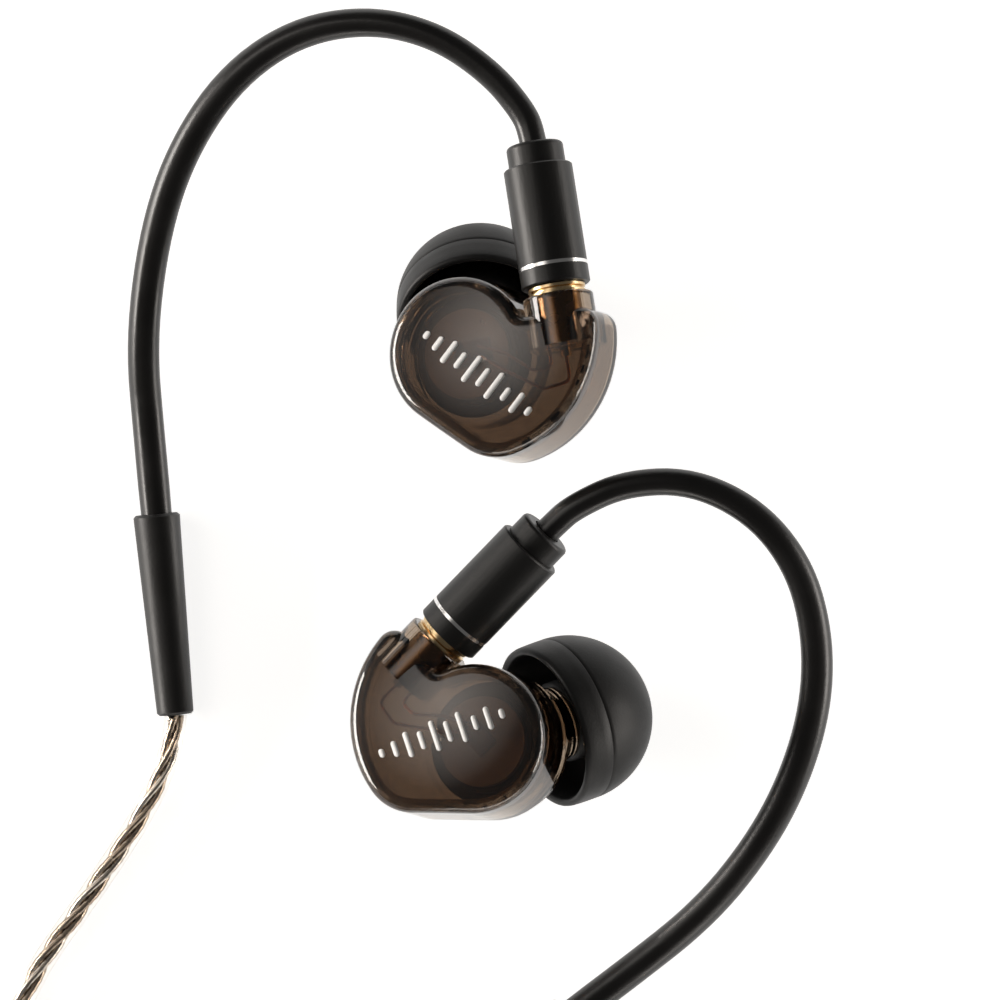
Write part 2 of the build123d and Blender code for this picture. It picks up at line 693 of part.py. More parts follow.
def stadium_bar(start, length, size):
    width, height = size
    section = Plane(origin=(start, PAIR_Y, PAIR_Z), x_dir=(0, 1, 0), z_dir=(1, 0, 0))
    bar = extrude(section * RectangleRounded(width, height, height / 2 - 0.01), length)
    ends = [e for e in bar.edges() if abs((e @ 1 - e @ 0).X) < 0.01]
    return fillet(ends, 0.5)


def cord_splitter():
    end = SPLITTER_START + SPLITTER_LENGTH
    body = stadium_bar(SPLITTER_START, SPLITTER_LENGTH, SPLITTER_SIZE)
    hole = Plane.YZ * Circle(BRANCH_R + SEAT_GAP)
    for offset in (-PAIR_SPACING / 2, PAIR_SPACING / 2):
        body -= Pos(SPLITTER_START - 1, PAIR_Y + offset, PAIR_Z) * extrude(hole, SPLITTER_GRIP + 1)
    main_hole = Plane.YZ * Circle(MAIN_R + SEAT_GAP)
    return body - Pos(end - SPLITTER_GRIP, PAIR_Y, PAIR_Z) * extrude(main_hole, SPLITTER_GRIP + 1)


# ---------------------------------------------------------------- jack plug
def jack_parts():
    relief_end = JACK_RELIEF
    housing_end = relief_end + JACK_HOUSING
    frame = Plane(origin=(JACK_START, JACK_Y, JACK_HOUSING_R), x_dir=(0, 1, 0), z_dir=(-1, 0, 0))
    cord_r = MAIN_R + SEAT_GAP
    relief = lathe([
        (cord_r, 0), (JACK_RELIEF_R - 0.3, 0), (JACK_RELIEF_R, 0.4),
        (JACK_HOUSING_R - 0.8, relief_end), (JACK_HOUSING_R - 0.8, relief_end + 2),
        (cord_r, relief_end + 2),
    ], frame)
    core_r = 0.6
    inner = housing_end - JACK_SHANK
    housing = lathe([
        (JACK_HOUSING_R - 0.8 + SEAT_GAP, relief_end), (JACK_HOUSING_R - 0.3, relief_end),
        (JACK_HOUSING_R, relief_end + 0.4), (JACK_HOUSING_R, housing_end - 0.8),
        (JACK_HOUSING_R - 0.5, housing_end), (JACK_SHANK_R + SEAT_GAP, housing_end),
        (JACK_SHANK_R + SEAT_GAP, inner), (JACK_HOUSING_R - 0.8 + SEAT_GAP, inner),
    ], frame)
    sleeve_end = housing_end + JACK_SLEEVE_LENGTH
    ring_start = sleeve_end + JACK_GAP
    ring_end = ring_start + JACK_RING_LENGTH
    tip_start = ring_end + JACK_GAP
    tip_end = tip_start + JACK_TIP_LENGTH
    wall = core_r + 0.3
    sleeve = lathe([
        (wall, inner), (JACK_SHANK_R, inner), (JACK_SHANK_R, housing_end),
        (JACK_PIN_R, housing_end), (JACK_PIN_R, sleeve_end), (wall, sleeve_end),
    ], frame)
    ring_contact = ring(JACK_PIN_R, core_r, ring_start, ring_end, frame)
    insulators = lathe([
        (core_r, inner), (wall, inner), (wall, sleeve_end), (JACK_PIN_R, sleeve_end),
        (JACK_PIN_R, ring_start), (core_r, ring_start),
    ], frame) + ring(JACK_PIN_R, core_r, ring_end, tip_start, frame)
    waist = tip_start + 1.1
    tip = lathe([
        (0, inner), (core_r, inner), (core_r, tip_start), (JACK_PIN_R, tip_start),
        (JACK_TIP_WAIST_R, waist), (JACK_PIN_R, waist + 0.7), (0.35, tip_end), (0, tip_end),
    ], frame)
    return {
        "jack_strain_relief": relief, "jack_housing": housing, "jack_sleeve_contact": sleeve,
        "jack_ring_contact": ring_contact, "jack_insulators": insulators, "jack_tip_contact": tip,
    }


# ---------------------------------------------------------------- build
def earpiece_parts():
    return {
        "faceplate": faceplate(),
        "back_shell": back_shell(),
        "nozzle_mesh": nozzle_mesh(),
        "ear_tip": ear_tip(),
        "driver_magnet": driver_magnet(),
        "driver_basket": driver_basket(),
        "diaphragm": diaphragm(),
        "terminal_board": terminal_board(),
        "driver_wires": driver_wires(),
        "socket_body": socket_body(),
        "socket_insulator": socket_insulator(),
        "socket_contact": socket_contact(),
        "plug_body": plug_body(),
        "plug_insulator": plug_insulator(),
        "plug_pin": plug_pin(),
        "snap_ring": snap_ring(),
        "connector_barrel": connector_barrel(),
        "barrel_ring": barrel_ring(),
        "barrel_cap": barrel_cap(),
    }


def as_one(shape):
    solids = [s for part in (shape if isinstance(shape, list) else [shape]) for s in part.solids()]
    return solids[0] if len(solids) == 1 else Compound(solids)


def main():
    os.makedirs("parts", exist_ok=True)
    model = {}
    sides = (
        ("right", 1, RIGHT_PLACE, RIGHT_TURNS, RIGHT_HOOK_CORNERS, RIGHT_SLEEVE_TOP,
         RIGHT_SLEEVE_HEADING, RIGHT_BRANCH_IN, RIGHT_COIL_LEAVE),
        ("left", -1, LEFT_PLACE, LEFT_TURNS, LEFT_HOOK_CORNERS, LEFT_SLEEVE_TOP,
         LEFT_SLEEVE_HEADING, LEFT_BRANCH_IN, LEFT_COIL_LEAVE),
    )
    pieces = {name: as_one(shape) for name, shape in earpiece_parts().items()}
    for name, side, place, turns, corners, top, heading, branch_in, coil_leave in sides:
        handed = pieces
        if side == -1:
            handed = {piece: mirror(shape, about=Plane.YZ) for piece, shape in pieces.items()}
        where = lying(place, turns, handed["ear_tip"])
        for piece, shape in handed.items():
            model[f"{name}_{piece}"] = where * shape
        hooks, lead_out = hook_parts(where, side, corners, top, heading, name)
        for piece, shape in hooks.items():
            model[f"{name}_{piece}"] = shape
        offset = -side * PAIR_SPACING / 2
        to_coil = route_line(lead_out + branch_in, name + " branch to coil")
        to_splitter = route_line(pair_stretch(offset, coil_leave), name + " branch to splitter")
        model[f"{name}_branch_cord"] = [tube(to_coil, BRANCH_R), tube(to_splitter, BRANCH_R)]

    model["branch_coil"] = coil(BRANCH_COIL_AT, BRANCH_COIL_R, BRANCH_COIL_WIDTH, BRANCH_COIL_HEIGHT)
    model["chin_slider"] = chin_slider()
    model["cord_splitter"] = cord_splitter()
    splitter_exit = (SPLITTER_START + SPLITTER_LENGTH - SPLITTER_GRIP, PAIR_Y, PAIR_Z)
    main_out = route_line([splitter_exit] + MAIN_OUT, "main cord from splitter")
    jack_entry = (JACK_START - JACK_RELIEF / 2, JACK_Y, JACK_HOUSING_R)
    jack_in = route_line(JACK_IN + [jack_entry], "main cord to jack")
    model["main_cord"] = [tube(main_out, MAIN_R), tube(jack_in, MAIN_R)]
    model["main_coil"] = coil(MAIN_COIL_AT, MAIN_COIL_R, MAIN_COIL_WIDTH, MAIN_COIL_HEIGHT)
    model.update(jack_parts())

    for node, shape in model.items():
        export_step(as_one(shape), f"parts/{node}.step")
    print(len(model), "nodes")


if __name__ == "__main__":
    main()
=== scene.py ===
# %% [markdown]
# # In-ear monitors
# A pair of in-ear monitors lies on a pale table: two smoke-clear earpieces with soft
# tips, turning plug connectors, ear hooks, and a clear twisted cord that is wound up
# beside them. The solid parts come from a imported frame, in metres, and every piece
# made here rides on one of its bodies.

import json
from math import cos, pi, radians, sin

import bmesh
import bpy
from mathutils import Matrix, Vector
from mathutils.bvhtree import BVHTree


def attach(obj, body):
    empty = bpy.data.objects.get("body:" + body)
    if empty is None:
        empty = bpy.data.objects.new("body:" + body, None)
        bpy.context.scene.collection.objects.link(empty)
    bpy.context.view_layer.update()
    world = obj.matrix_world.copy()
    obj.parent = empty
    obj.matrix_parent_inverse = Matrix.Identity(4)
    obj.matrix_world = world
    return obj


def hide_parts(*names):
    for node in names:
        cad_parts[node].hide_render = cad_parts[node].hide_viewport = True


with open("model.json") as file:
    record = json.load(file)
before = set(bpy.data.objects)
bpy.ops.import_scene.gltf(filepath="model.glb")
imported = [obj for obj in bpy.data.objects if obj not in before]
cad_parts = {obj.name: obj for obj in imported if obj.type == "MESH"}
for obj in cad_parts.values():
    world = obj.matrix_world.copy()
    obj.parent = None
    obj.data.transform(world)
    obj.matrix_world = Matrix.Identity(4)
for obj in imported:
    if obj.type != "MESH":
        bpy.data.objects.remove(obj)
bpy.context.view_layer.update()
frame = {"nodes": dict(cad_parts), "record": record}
nodes = frame["nodes"]
record = frame["record"]
MM = 0.001

# %% [markdown]
# ## The camera
# A product view from straight above flattens perspective, so the lens is long and the
# camera is far away. The picture then covers an 80 mm square of the table.

# %% Camera
lens_camera = bpy.data.cameras.new("overhead_camera")
lens_camera.type = "PERSP"
lens_camera.sensor_width = 36.0
lens_camera.lens = 675.0
lens_camera.clip_start = 0.05
lens_camera.clip_end = 50.0
camera = bpy.data.objects.new("overhead_camera", lens_camera)
bpy.context.scene.collection.objects.link(camera)
middle_x, middle_y, camera_height = 1.64, 6.45, 1.508
camera.location = (middle_x * MM, middle_y * MM, camera_height)
bpy.context.scene.camera = camera
print("camera height", round(camera.location.z, 3), "m")

# %% [markdown]
# ## Cords
# A real cord is one length of wire in a jacket, so each cord here is one open curve.
# A NURBS curve keeps bends smooth with few points. Turns of a coil are more points of
# the same curve. The spare length is wound in flat layers: the cord spirals in on one
# layer, steps to the next and spirals out again, so no turn crosses another. Each point
# has a radius of a millimetre, and the round section is a multiple of that, because a
# point's radius also counts in the curve's box.

# %% A helper that makes a smooth route
def route_curve(name, points_mm, radius_mm=0.0):
    """A NURBS curve through a row of control points, round if it has a radius."""
    curve = bpy.data.curves.new(name, "CURVE")
    curve.dimensions = "3D"
    curve.resolution_u = 6
    spline = curve.splines.new("NURBS")
    spline.points.add(len(points_mm) - 1)
    for point, (x, y, z) in zip(spline.points, points_mm):
        point.co = (x * MM, y * MM, z * MM, 1.0)
        point.radius = MM
    spline.order_u = 3
    spline.use_endpoint_u = True
    curve.bevel_depth = radius_mm
    curve.bevel_resolution = 5
    curve.use_fill_caps = True
    piece = bpy.data.objects.new(name, curve)
    bpy.context.scene.collection.objects.link(piece)
    return piece


def route_points(points_mm):
    """The points that a smooth route runs through, in millimetres."""
    bare = route_curve("bare_route", points_mm)
    line = bpy.data.meshes.new_from_object(bare)
    points = [v.co / MM for v in line.vertices]
    bpy.data.objects.remove(bare)
    bpy.data.meshes.remove(line)
    return points


def length_of(points):
    return sum((b - a).length for a, b in zip(points, points[1:]))


# %% A helper that winds one layer of a coil
points_per_turn = 16


def coil_layer(centre, start_deg, sweep_deg, from_r, to_r, z):
    """Control points of a flat spiral, clear of its two ends."""
    steps = round(abs(sweep_deg) / (360 / points_per_turn))
    points = []
    for step in range(1, steps):
        part = step / steps
        angle = radians(start_deg + sweep_deg * part)
        r = (from_r + (to_r - from_r) * part) / cos(pi / points_per_turn)
        points.append((centre[0] + r * cos(angle), centre[1] + r * sin(angle), z))
    return points


# %% Right branch: from the sleeve, through the coil, to the splitter
branch_coil_at, branch_coil_r = (-24.0, -60.0), 12.1
right_branch_route = [
    (-24.44, -10.79, 1.48), (-24.55, -12.6, 1.4), (-25.6, -16.0, 1.15),
    (-28.2, -20.7, 0.93), (-31.9, -26.1, 0.93), (-35.8, -31.5, 0.93),
    (-38.5, -38.0, 1.0), (-38.4, -45.4, 1.9), (-37.0, -52.4, 3.5),
]
right_branch_route += coil_layer(branch_coil_at, 166, 772, branch_coil_r, 8.05, 4.7)
right_branch_route += coil_layer(branch_coil_at, 218, 768, 8.05, branch_coil_r, 6.5)
right_branch_route += [
    (-22.6, -72.3, 6.2), (-17.6, -72.7, 4.8), (-10.8, -72.6, 1.9), (-3.0, -72.6, 1.9),
    (13.0, -72.6, 1.9),
]
print("right branch", round(length_of(route_points(right_branch_route)), 1), "mm")

# %% Left branch
left_branch_route = [
    (-5.76, -44.73, 1.48), (-8.2, -46.5, 1.4), (-11.4, -47.9, 1.2), (-15.6, -48.7, 1.8),
]
left_branch_route += coil_layer(branch_coil_at, 82, 815, branch_coil_r, 7.95, 2.78)
left_branch_route += coil_layer(branch_coil_at, 177, 818, 7.95, branch_coil_r, 0.95)
left_branch_route += [
    (-20.4, -71.4, 1.0), (-15.8, -70.6, 1.3), (-10.8, -70.4, 1.9), (13.0, -70.4, 1.9),
]
print("left branch", round(length_of(route_points(left_branch_route)), 1), "mm")

# %% Main cord: from the splitter, through its coil, to the jack
main_coil_at, outer_r, inner_r = (20.0, -98.0), 16.15, 10.9
layer_sweep, lowest_layer, layer_rise = 727, 1.35, 2.55
main_route = [
    (21.0, -71.5, 1.9), (28.2, -71.5, 1.9), (34.2, -73.6, 1.5), (37.4, -79.2, 1.35),
    (37.9, -86.2, 1.35),
]
for layer in range(4):
    start = 22 - layer * layer_sweep
    ends = (outer_r, inner_r) if layer % 2 == 0 else (inner_r, outer_r)
    height = lowest_layer + layer_rise * layer
    main_route += coil_layer(main_coil_at, start, -layer_sweep, *ends, height)
main_route += [
    (36.0, -104.6, 8.4), (33.6, -110.3, 7.2), (27.9, -114.9, 5.6),
    (20.5, -116.2, 3.8), (12.9, -114.5, 2.9), (5.4, -113.0, 3.25), (-5.1, -113.0, 3.25),
]
print("main cord", round(length_of(route_points(main_route)), 1), "mm")

# %% The three jackets
branch_cord_r, main_cord_r = 0.9, 1.25
right_jacket = route_curve("right_branch_jacket", right_branch_route, branch_cord_r)
left_jacket = route_curve("left_branch_jacket", left_branch_route, branch_cord_r)
main_jacket = route_curve("main_cord_jacket", main_route, main_cord_r)
for jacket in (right_jacket, left_jacket, main_jacket):
    jacket.data.twist_mode = "MINIMUM"
    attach(jacket, "cable")
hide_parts("right_branch_cord")
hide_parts("left_branch_cord", "branch_coil")
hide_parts("main_cord", "main_coil")

# %% [markdown]
# ## Twisted cores
# Inside each clear jacket three stranded wires turn round each other, one for each
# channel and one for the return. Each wire is a mesh tube whose middle follows a helix
# about the cord's own line, and it shows its own fine strands, which run round it the
# other way. The strands are ridges in the tube's section, turned a little further at
# every step. The jacket works as a lens, so the wires look wider than they are.

# %% A helper that carries a frame along a route
def turning_frames(points):
    """A point, direction and side for every step, with no sudden roll."""
    frames = []
    side = Vector((0, 0, 1))
    for i, point in enumerate(points):
        ahead = points[min(i + 1, len(points) - 1)]
        behind = points[max(i - 1, 0)]
        along = (ahead - behind).normalized()
        side = (side - along * side.dot(along)).normalized()
        frames.append((point, along, side))
    return frames


def spaced(points, gap):
    """The same line, as points a fixed distance apart."""
    result, left = [points[0]], gap
    for a, b in zip(points, points[1:]):
        run = (b - a).length
        while run >= left:
            a = a + (b - a) * (left / run)
            result.append(a)
            run = (b - a).length
            left = gap
        left -= run
    return result


# %% A helper that builds a mesh tube
def tube_mesh(name, frames, section):
    """A skin through sections: section(step) gives (side, up) offsets in millimetres."""
    verts, faces = [], []
    count = len(section(0))
    for step, (point, along, side) in enumerate(frames):
        up = along.cross(side)
        for a, b in section(step):
            verts.append((point + side * a + up * b) * MM)
    for step in range(len(frames) - 1):
        for k in range(count):
            here, there = step * count, (step + 1) * count
            nxt = (k + 1) % count
            faces.append((here + k, here + nxt, there + nxt, there + k))
    faces.append(tuple(reversed(range(count))))
    faces.append(tuple(range((len(frames) - 1) * count, len(frames) * count)))
    return mesh_piece(name, verts, faces)


def mesh_piece(name, verts, faces):
    mesh = bpy.data.meshes.new(name)
    mesh.from_pydata([tuple(v) for v in verts], [], faces)
    work = bmesh.new()
    work.from_mesh(mesh)
    bmesh.ops.recalc_face_normals(work, faces=work.faces)
    work.to_mesh(mesh)
    work.free()
    for face in mesh.polygons:
        face.use_smooth = True
    piece = bpy.data.objects.new(name, mesh)
    bpy.context.scene.collection.objects.link(piece)
    return piece


# %% A helper that twists one stranded core into a jacket
core_sides = 12
groove_share = 0.8    # the radius in a groove between two strands, as a share of the core's
strand_share = 0.55    # one turn of the strands, as a share of one turn of the cores


def twisted_core(name, route_mm, pitch, reach, core_r, phase, step_mm):
    line = spaced(route_points(route_mm), step_mm)
    frames = turning_frames(line)
    helix = []
    for i, (point, along, side) in enumerate(frames):
        angle = 2 * pi * i * step_mm / pitch + phase
        up = along.cross(side)
        helix.append(point + side * (reach * cos(angle)) + up * (reach * sin(angle)))

    def strand_section(step):
        roll = -2 * pi * step * step_mm / (pitch * strand_share)
        ring = []
        for k in range(core_sides):
            angle = 2 * pi * k / core_sides + roll
            r = core_r * (1.0 if k % 2 else groove_share)
            ring.append((r * cos(angle), r * sin(angle)))
        return ring

    return tube_mesh(name, turning_frames(helix), strand_section)


# %% The cores of all three cords
wires_in_cord = 3
ring_gap_mm = 0.45
cores = {"right": [], "left": [], "main": []}
for cord, route, pitch, reach, core_r in (
    ("right", right_branch_route, 9.0, 0.265, 0.235),
    ("left", left_branch_route, 9.0, 0.265, 0.235),
    ("main", main_route, 12.0, 0.37, 0.325),
):
    for number in range(wires_in_cord):
        phase = 2 * pi * number / wires_in_cord
        core = twisted_core(
            f"{cord}_cord_core_{number}", route, pitch, reach, core_r, phase, ring_gap_mm)
        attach(core, "cable")
        cores[cord].append(core)
        print(core.name, len(core.data.polygons), "faces")

def measured(route):
    return length_of(route_points(route)) * MM


measured(right_branch_route)
measured(left_branch_route)
measured(main_route)

# %% [markdown]
# ## Finishes
# Most parts of the set are moulded or machined, so their finish is a colour, a gloss
# and a very fine grain. The grain is made once, as a node group with a value for its
# size and its depth, and each finish sets its own. It gives back a height for a bump
# and a mask that varies over the surface, which changes the gloss a little.

# %% A node group for fine grain
def fine_grain_group():
    group = bpy.data.node_groups.new("fine_grain", "ShaderNodeTree")
    for name, value in (("Size", 2500.0), ("Detail", 3.0), ("Low", 0.4), ("High", 0.5)):
        socket = group.interface.new_socket(
            name=name, in_out="INPUT", socket_type="NodeSocketFloat")
        socket.default_value = value
    group.interface.new_socket(name="Vector", in_out="INPUT", socket_type="NodeSocketVector")
    group.interface.new_socket(name="Height", in_out="OUTPUT", socket_type="NodeSocketFloat")
    group.interface.new_socket(name="Gloss", in_out="OUTPUT", socket_type="NodeSocketFloat")
    inside = group.nodes.new("NodeGroupInput")
    out = group.nodes.new("NodeGroupOutput")
    grain = group.nodes.new("ShaderNodeTexNoise")
    cloud = group.nodes.new("ShaderNodeTexNoise")
    spread = group.nodes.new("ShaderNodeMapRange")
    cloud.inputs["Scale"].default_value = 260.0
    join = group.links.new
    join(inside.outputs["Vector"], grain.inputs["Vector"])
    join(inside.outputs["Vector"], cloud.inputs["Vector"])
    join(inside.outputs["Size"], grain.inputs["Scale"])
    join(inside.outputs["Detail"], grain.inputs["Detail"])
    join(cloud.outputs["Fac"], spread.inputs["Value"])
    spread.inputs["From Min"].default_value = 0.3
    spread.inputs["From Max"].default_value = 0.7
    join(inside.outputs["Low"], spread.inputs["To Min"])
    join(inside.outputs["High"], spread.inputs["To Max"])
    join(grain.outputs["Fac"], out.inputs["Height"])
    join(spread.outputs["Result"], out.inputs["Gloss"])
    return group


fine_grain = fine_grain_group()
print("group", fine_grain.name)

# %% A helper that starts a finish
def new_finish(name, colour, metallic=0.0, roughness=0.4):
    finish = bpy.data.materials.new(name)
    finish.use_nodes = True
    shader = finish.node_tree.nodes["Principled BSDF"]
    shader.inputs["Base Color"].default_value = (*colour, 1.0)
    shader.inputs["Metallic"].default_value = metallic
    shader.inputs["Roughness"].default_value = roughness
    return finish, shader


def add_grain(finish, shader, size, depth_mm, low, high, stretch=None):
    """Fine grain on a finish: its size is in grains per metre. No depth, no relief."""
    tree = finish.node_tree
    where = tree.nodes.new("ShaderNodeTexCoord")
    grain = tree.nodes.new("ShaderNodeGroup")
    grain.node_tree = fine_grain
    grain.inputs["Size"].default_value = size
    grain.inputs["Low"].default_value = low
    grain.inputs["High"].default_value = high
    source = where.outputs["Object"]
    if stretch:
        turn = tree.nodes.new("ShaderNodeMapping")
        turn.vector_type = "TEXTURE"
        turn.inputs["Rotation"].default_value = stretch[0]
        turn.inputs["Scale"].default_value = stretch[1]
        tree.links.new(source, turn.inputs["Vector"])
        source = turn.outputs["Vector"]
    tree.links.new(source, grain.inputs["Vector"])
    tree.links.new(grain.outputs["Gloss"], shader.inputs["Roughness"])
    if depth_mm:
        bump = tree.nodes.new("ShaderNodeBump")
        bump.inputs["Distance"].default_value = depth_mm * MM
        bump.inputs["Strength"].default_value = 1.0
        tree.links.new(grain.outputs["Height"], bump.inputs["Height"])
        tree.links.new(bump.outputs["Normal"], shader.inputs["Normal"])


# %% [markdown]
# ## Smoke-clear plastic
# The shells are clear plastic with a brown-grey tint. Light that goes in comes out
# darker and warmer, which a tinted transmission shader does at each surface. The walls
# are real walls here, 0.8 mm thick, so the edges bend light as moulded ones do. A thin,
# softer coat over them spreads a broad gleam across the domed face.

# %% Smoke-clear shell finishes, darker for the faceplate
def clear_plastic(name, tint, roughness, ior, coat=0.0):
    finish, shader = new_finish(name, tint, roughness=roughness)
    shader.inputs["Transmission Weight"].default_value = 1.0
    shader.inputs["IOR"].default_value = ior
    shader.inputs["Coat Weight"].default_value = coat
    shader.inputs["Coat Roughness"].default_value = 0.26
    add_grain(finish, shader, 900.0, 0.0, roughness * 0.7, roughness * 1.4)
    return finish


smoke_face = clear_plastic("smoke_faceplate", (0.20, 0.147, 0.108), 0.03, 1.49, coat=0.35)
smoke_shell = clear_plastic("smoke_back_shell", (0.31, 0.235, 0.17), 0.04, 1.49)

# %% Clear cable jacket finish
clear_jacket = clear_plastic("clear_cable_jacket", (0.93, 0.91, 0.88), 0.04, 1.42)

# %% [markdown]
# ## Black parts
# The black barrels are anodised metal: a dark metal sheen under fine grain that runs
# along them. The tips are silicone, which is duller and softer, and the hooks are a
# satin rubber tube.

# %% Barrel finish, one for each direction that a barrel lies in
def barrel_finish(name, axis):
    finish, shader = new_finish(name, (0.010, 0.0095, 0.009), metallic=0.2, roughness=0.4)
    shader.inputs["Specular IOR Level"].default_value = 0.45
    turn = Vector((0, 0, 1)).rotation_difference(Vector(axis)).to_euler()
    add_grain(finish, shader, 4200.0, 0.012, 0.34, 0.46, stretch=(turn, (1.0, 1.0, 7.0)))
    return finish


def joint_of(name):
    return next(joint for joint in record["behaviour"]["joints"] if joint["name"] == name)


barrel_finishes = {
    side: barrel_finish(f"{side}_barrel_black", joint_of(f"{side}_swivel")["axis"])
    for side in ("right", "left")
}
jack_black = barrel_finish("jack_black", (-1, 0, 0))

# %% Silicone, hook rubber and sleeve rubber
silicone, shader = new_finish("black_silicone", (0.0045, 0.0042, 0.0040), roughness=0.5)
shader.inputs["Specular IOR Level"].default_value = 0.34
add_grain(silicone, shader, 5200.0, 0.010, 0.44, 0.56)
hook_rubber, shader = new_finish("satin_hook_rubber", (0.0050, 0.0042, 0.0037), roughness=0.32)
shader.inputs["Specular IOR Level"].default_value = 0.55
add_grain(hook_rubber, shader, 3400.0, 0.010, 0.28, 0.38)
sleeve_rubber, shader = new_finish("matte_sleeve", (0.0065, 0.0058, 0.0052), roughness=0.45)
add_grain(sleeve_rubber, shader, 4200.0, 0.014, 0.40, 0.52)
moulded_black, shader = new_finish("moulded_black", (0.010, 0.0096, 0.0092), roughness=0.45)
add_grain(moulded_black, shader, 3000.0, 0.014, 0.42, 0.55)

# %% [markdown]
# ## Metals and inner parts
# Gold plate, polished rings, a steel magnet cup, copper wire and an amber board show
# through the tinted shell, so each gets its own colour and a little grain too.

# %% Metal finishes
def metal(name, colour, roughness):
    finish, shader = new_finish(name, colour, metallic=1.0, roughness=roughness)
    add_grain(finish, shader, 6500.0, 0.0008, roughness * 0.8, roughness * 1.25)
    return finish


gold_plate = metal("gold_plate", (0.70, 0.52, 0.29), 0.26)
bright_ring = metal("bright_ring", (0.88, 0.87, 0.86), 0.22)
magnet_steel = metal("magnet_steel", (0.56, 0.42, 0.30), 0.34)
spring_steel = metal("spring_steel", (0.62, 0.60, 0.57), 0.25)
bronze_strands = metal("bronze_strands", (0.50, 0.41, 0.325), 0.24)
silver_strands = metal("silver_strands", (0.68, 0.62, 0.55), 0.22)
copper_wire = metal("copper_wire", (0.80, 0.38, 0.16), 0.30)
mesh_steel = metal("mesh_steel", (0.70, 0.67, 0.63), 0.28)

# %% Plastic inner finishes
def inner_plastic(name, colour, roughness):
    finish, shader = new_finish(name, colour, roughness=roughness)
    add_grain(finish, shader, 6000.0, 0.002, roughness * 0.85, roughness * 1.15)
    return finish


basket_bronze = inner_plastic("basket_bronze", (0.15, 0.088, 0.048), 0.32)
board_amber = inner_plastic("board_amber", (0.42, 0.17, 0.035), 0.35)
film_amber = inner_plastic("film_amber", (0.55, 0.36, 0.16), 0.25)
pale_insulator = inner_plastic("pale_insulator", (0.72, 0.68, 0.60), 0.45)
print("finishes", len(bpy.data.materials))

# %% Give every solid that stays in view its finish
slot_finish = {
    "smoke_shell": smoke_shell, "nozzle_mesh": mesh_steel, "silicone": silicone,
    "driver_metal": magnet_steel, "driver_basket": basket_bronze, "diaphragm_film": film_amber,
    "circuit_board": board_amber, "lead_wire": copper_wire, "gold_plate": gold_plate,
    "insulator": pale_insulator, "spring_steel": spring_steel, "black_barrel": jack_black,
    "bright_ring": bright_ring, "hook_rubber": hook_rubber, "sleeve_rubber": sleeve_rubber,
    "clear_jacket": clear_jacket, "moulded_black": moulded_black,
}


def dress(piece, finish):
    piece.data.materials.clear()
    piece.data.materials.append(finish)


for part in record["subparts"]:
    node = nodes[part["node"]]
    finish = slot_finish[part["material_slot"]]
    side = part["node"].split("_")[0]
    if part["material_slot"] == "black_barrel" and side in barrel_finishes:
        finish = barrel_finishes[side]
    if part["node"].endswith("_faceplate"):
        finish = smoke_face
    dress(node, finish)
for jacket in (right_jacket, left_jacket, main_jacket):
    dress(jacket, clear_jacket)
for cord in cores.values():
    for core, finish in zip(cord, (bronze_strands, silver_strands, bronze_strands)):
        dress(core, finish)

# %% [markdown]
# ## Ear tips
# A silicone tip is one moulding: a soft dome that folds back round a firm core. It is
# turned from one profile, and a faint ridge runs where the two halves of its mould met,
# between the straight skirt and the dome. The hollow behind the skirt stays open.

# %% A helper that turns a profile about an axis
def turned_piece(name, profile, root_mm, axis, segments=112):
    """A closed profile of (radius, along) points turned about an axis."""
    turn = Vector((0, 0, 1)).rotation_difference(axis)
    verts, faces = [], []
    count = len(profile)
    for s in range(segments):
        angle = 2 * pi * s / segments
        for r, along in profile:
            spot = turn @ Vector((r * cos(angle), r * sin(angle), along))
            verts.append((root_mm + spot) * MM)
    for s in range(segments):
        for k in range(count):
            a, b = s * count, (s + 1) % segments * count
            n = (k + 1) % count
            faces.append((a + k, b + k, b + n, a + n))
    return mesh_piece(name, verts, faces)


def arc_profile(radius, middle, from_deg, to_deg, steps):
    span = [from_deg + (to_deg - from_deg) * i / steps for i in range(steps + 1)]
    return [(radius * cos(radians(a)), middle + radius * sin(radians(a))) for a in span]


# %% Both ear tips
tip_r, hollow_r, skirt_end = 6.7, 6.0, 6.4
dome_end_deg = 64.3
tip_profile = [(6.02, 4.25), (6.08, 4.02), (6.25, 3.91), (6.45, 3.93), (6.60, 4.06), (6.66, 4.3)]
tip_profile += [(6.69, 4.9), (6.70, 5.6), (6.70, 6.22), (6.68, 6.27), (6.655, 6.31)]
tip_profile += [(6.655, 6.36), (6.675, 6.40), (6.70, 6.46)]
tip_profile += arc_profile(tip_r, skirt_end, 2.5, dome_end_deg, 26)
tip_profile += [(2.72, 12.54), (2.5, 12.52), (2.32, 12.42), (2.22, 12.2), (2.2, 11.9)]
tip_profile += [(2.2, 10.13), (2.53, 10.13), (2.53, 5.5), (3.3, 5.5), (3.3, 10.6), (3.36, 11.2)]
tip_profile += arc_profile(hollow_r, skirt_end, 54.0, 2.0, 18)


seal_height = 8.4


def tip_root(side):
    """Where the tip's profile starts, and the way it points, from its seal's mount."""
    mount = next(m for m in record["mounts"] if m["name"] == f"{side}_ear_seal")
    axis = Vector(mount["axis"])
    return Vector(mount["pos_m"]) / MM - axis * seal_height, axis


for side in ("right", "left"):
    root, axis = tip_root(side)
    tip = turned_piece(f"{side}_silicone_tip", tip_profile, root, axis)
    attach(tip, f"{side}_ear_tip")
    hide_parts(f"{side}_ear_tip")
    dress(tip, silicone)
    print(tip.name, len(tip.data.polygons), "faces")

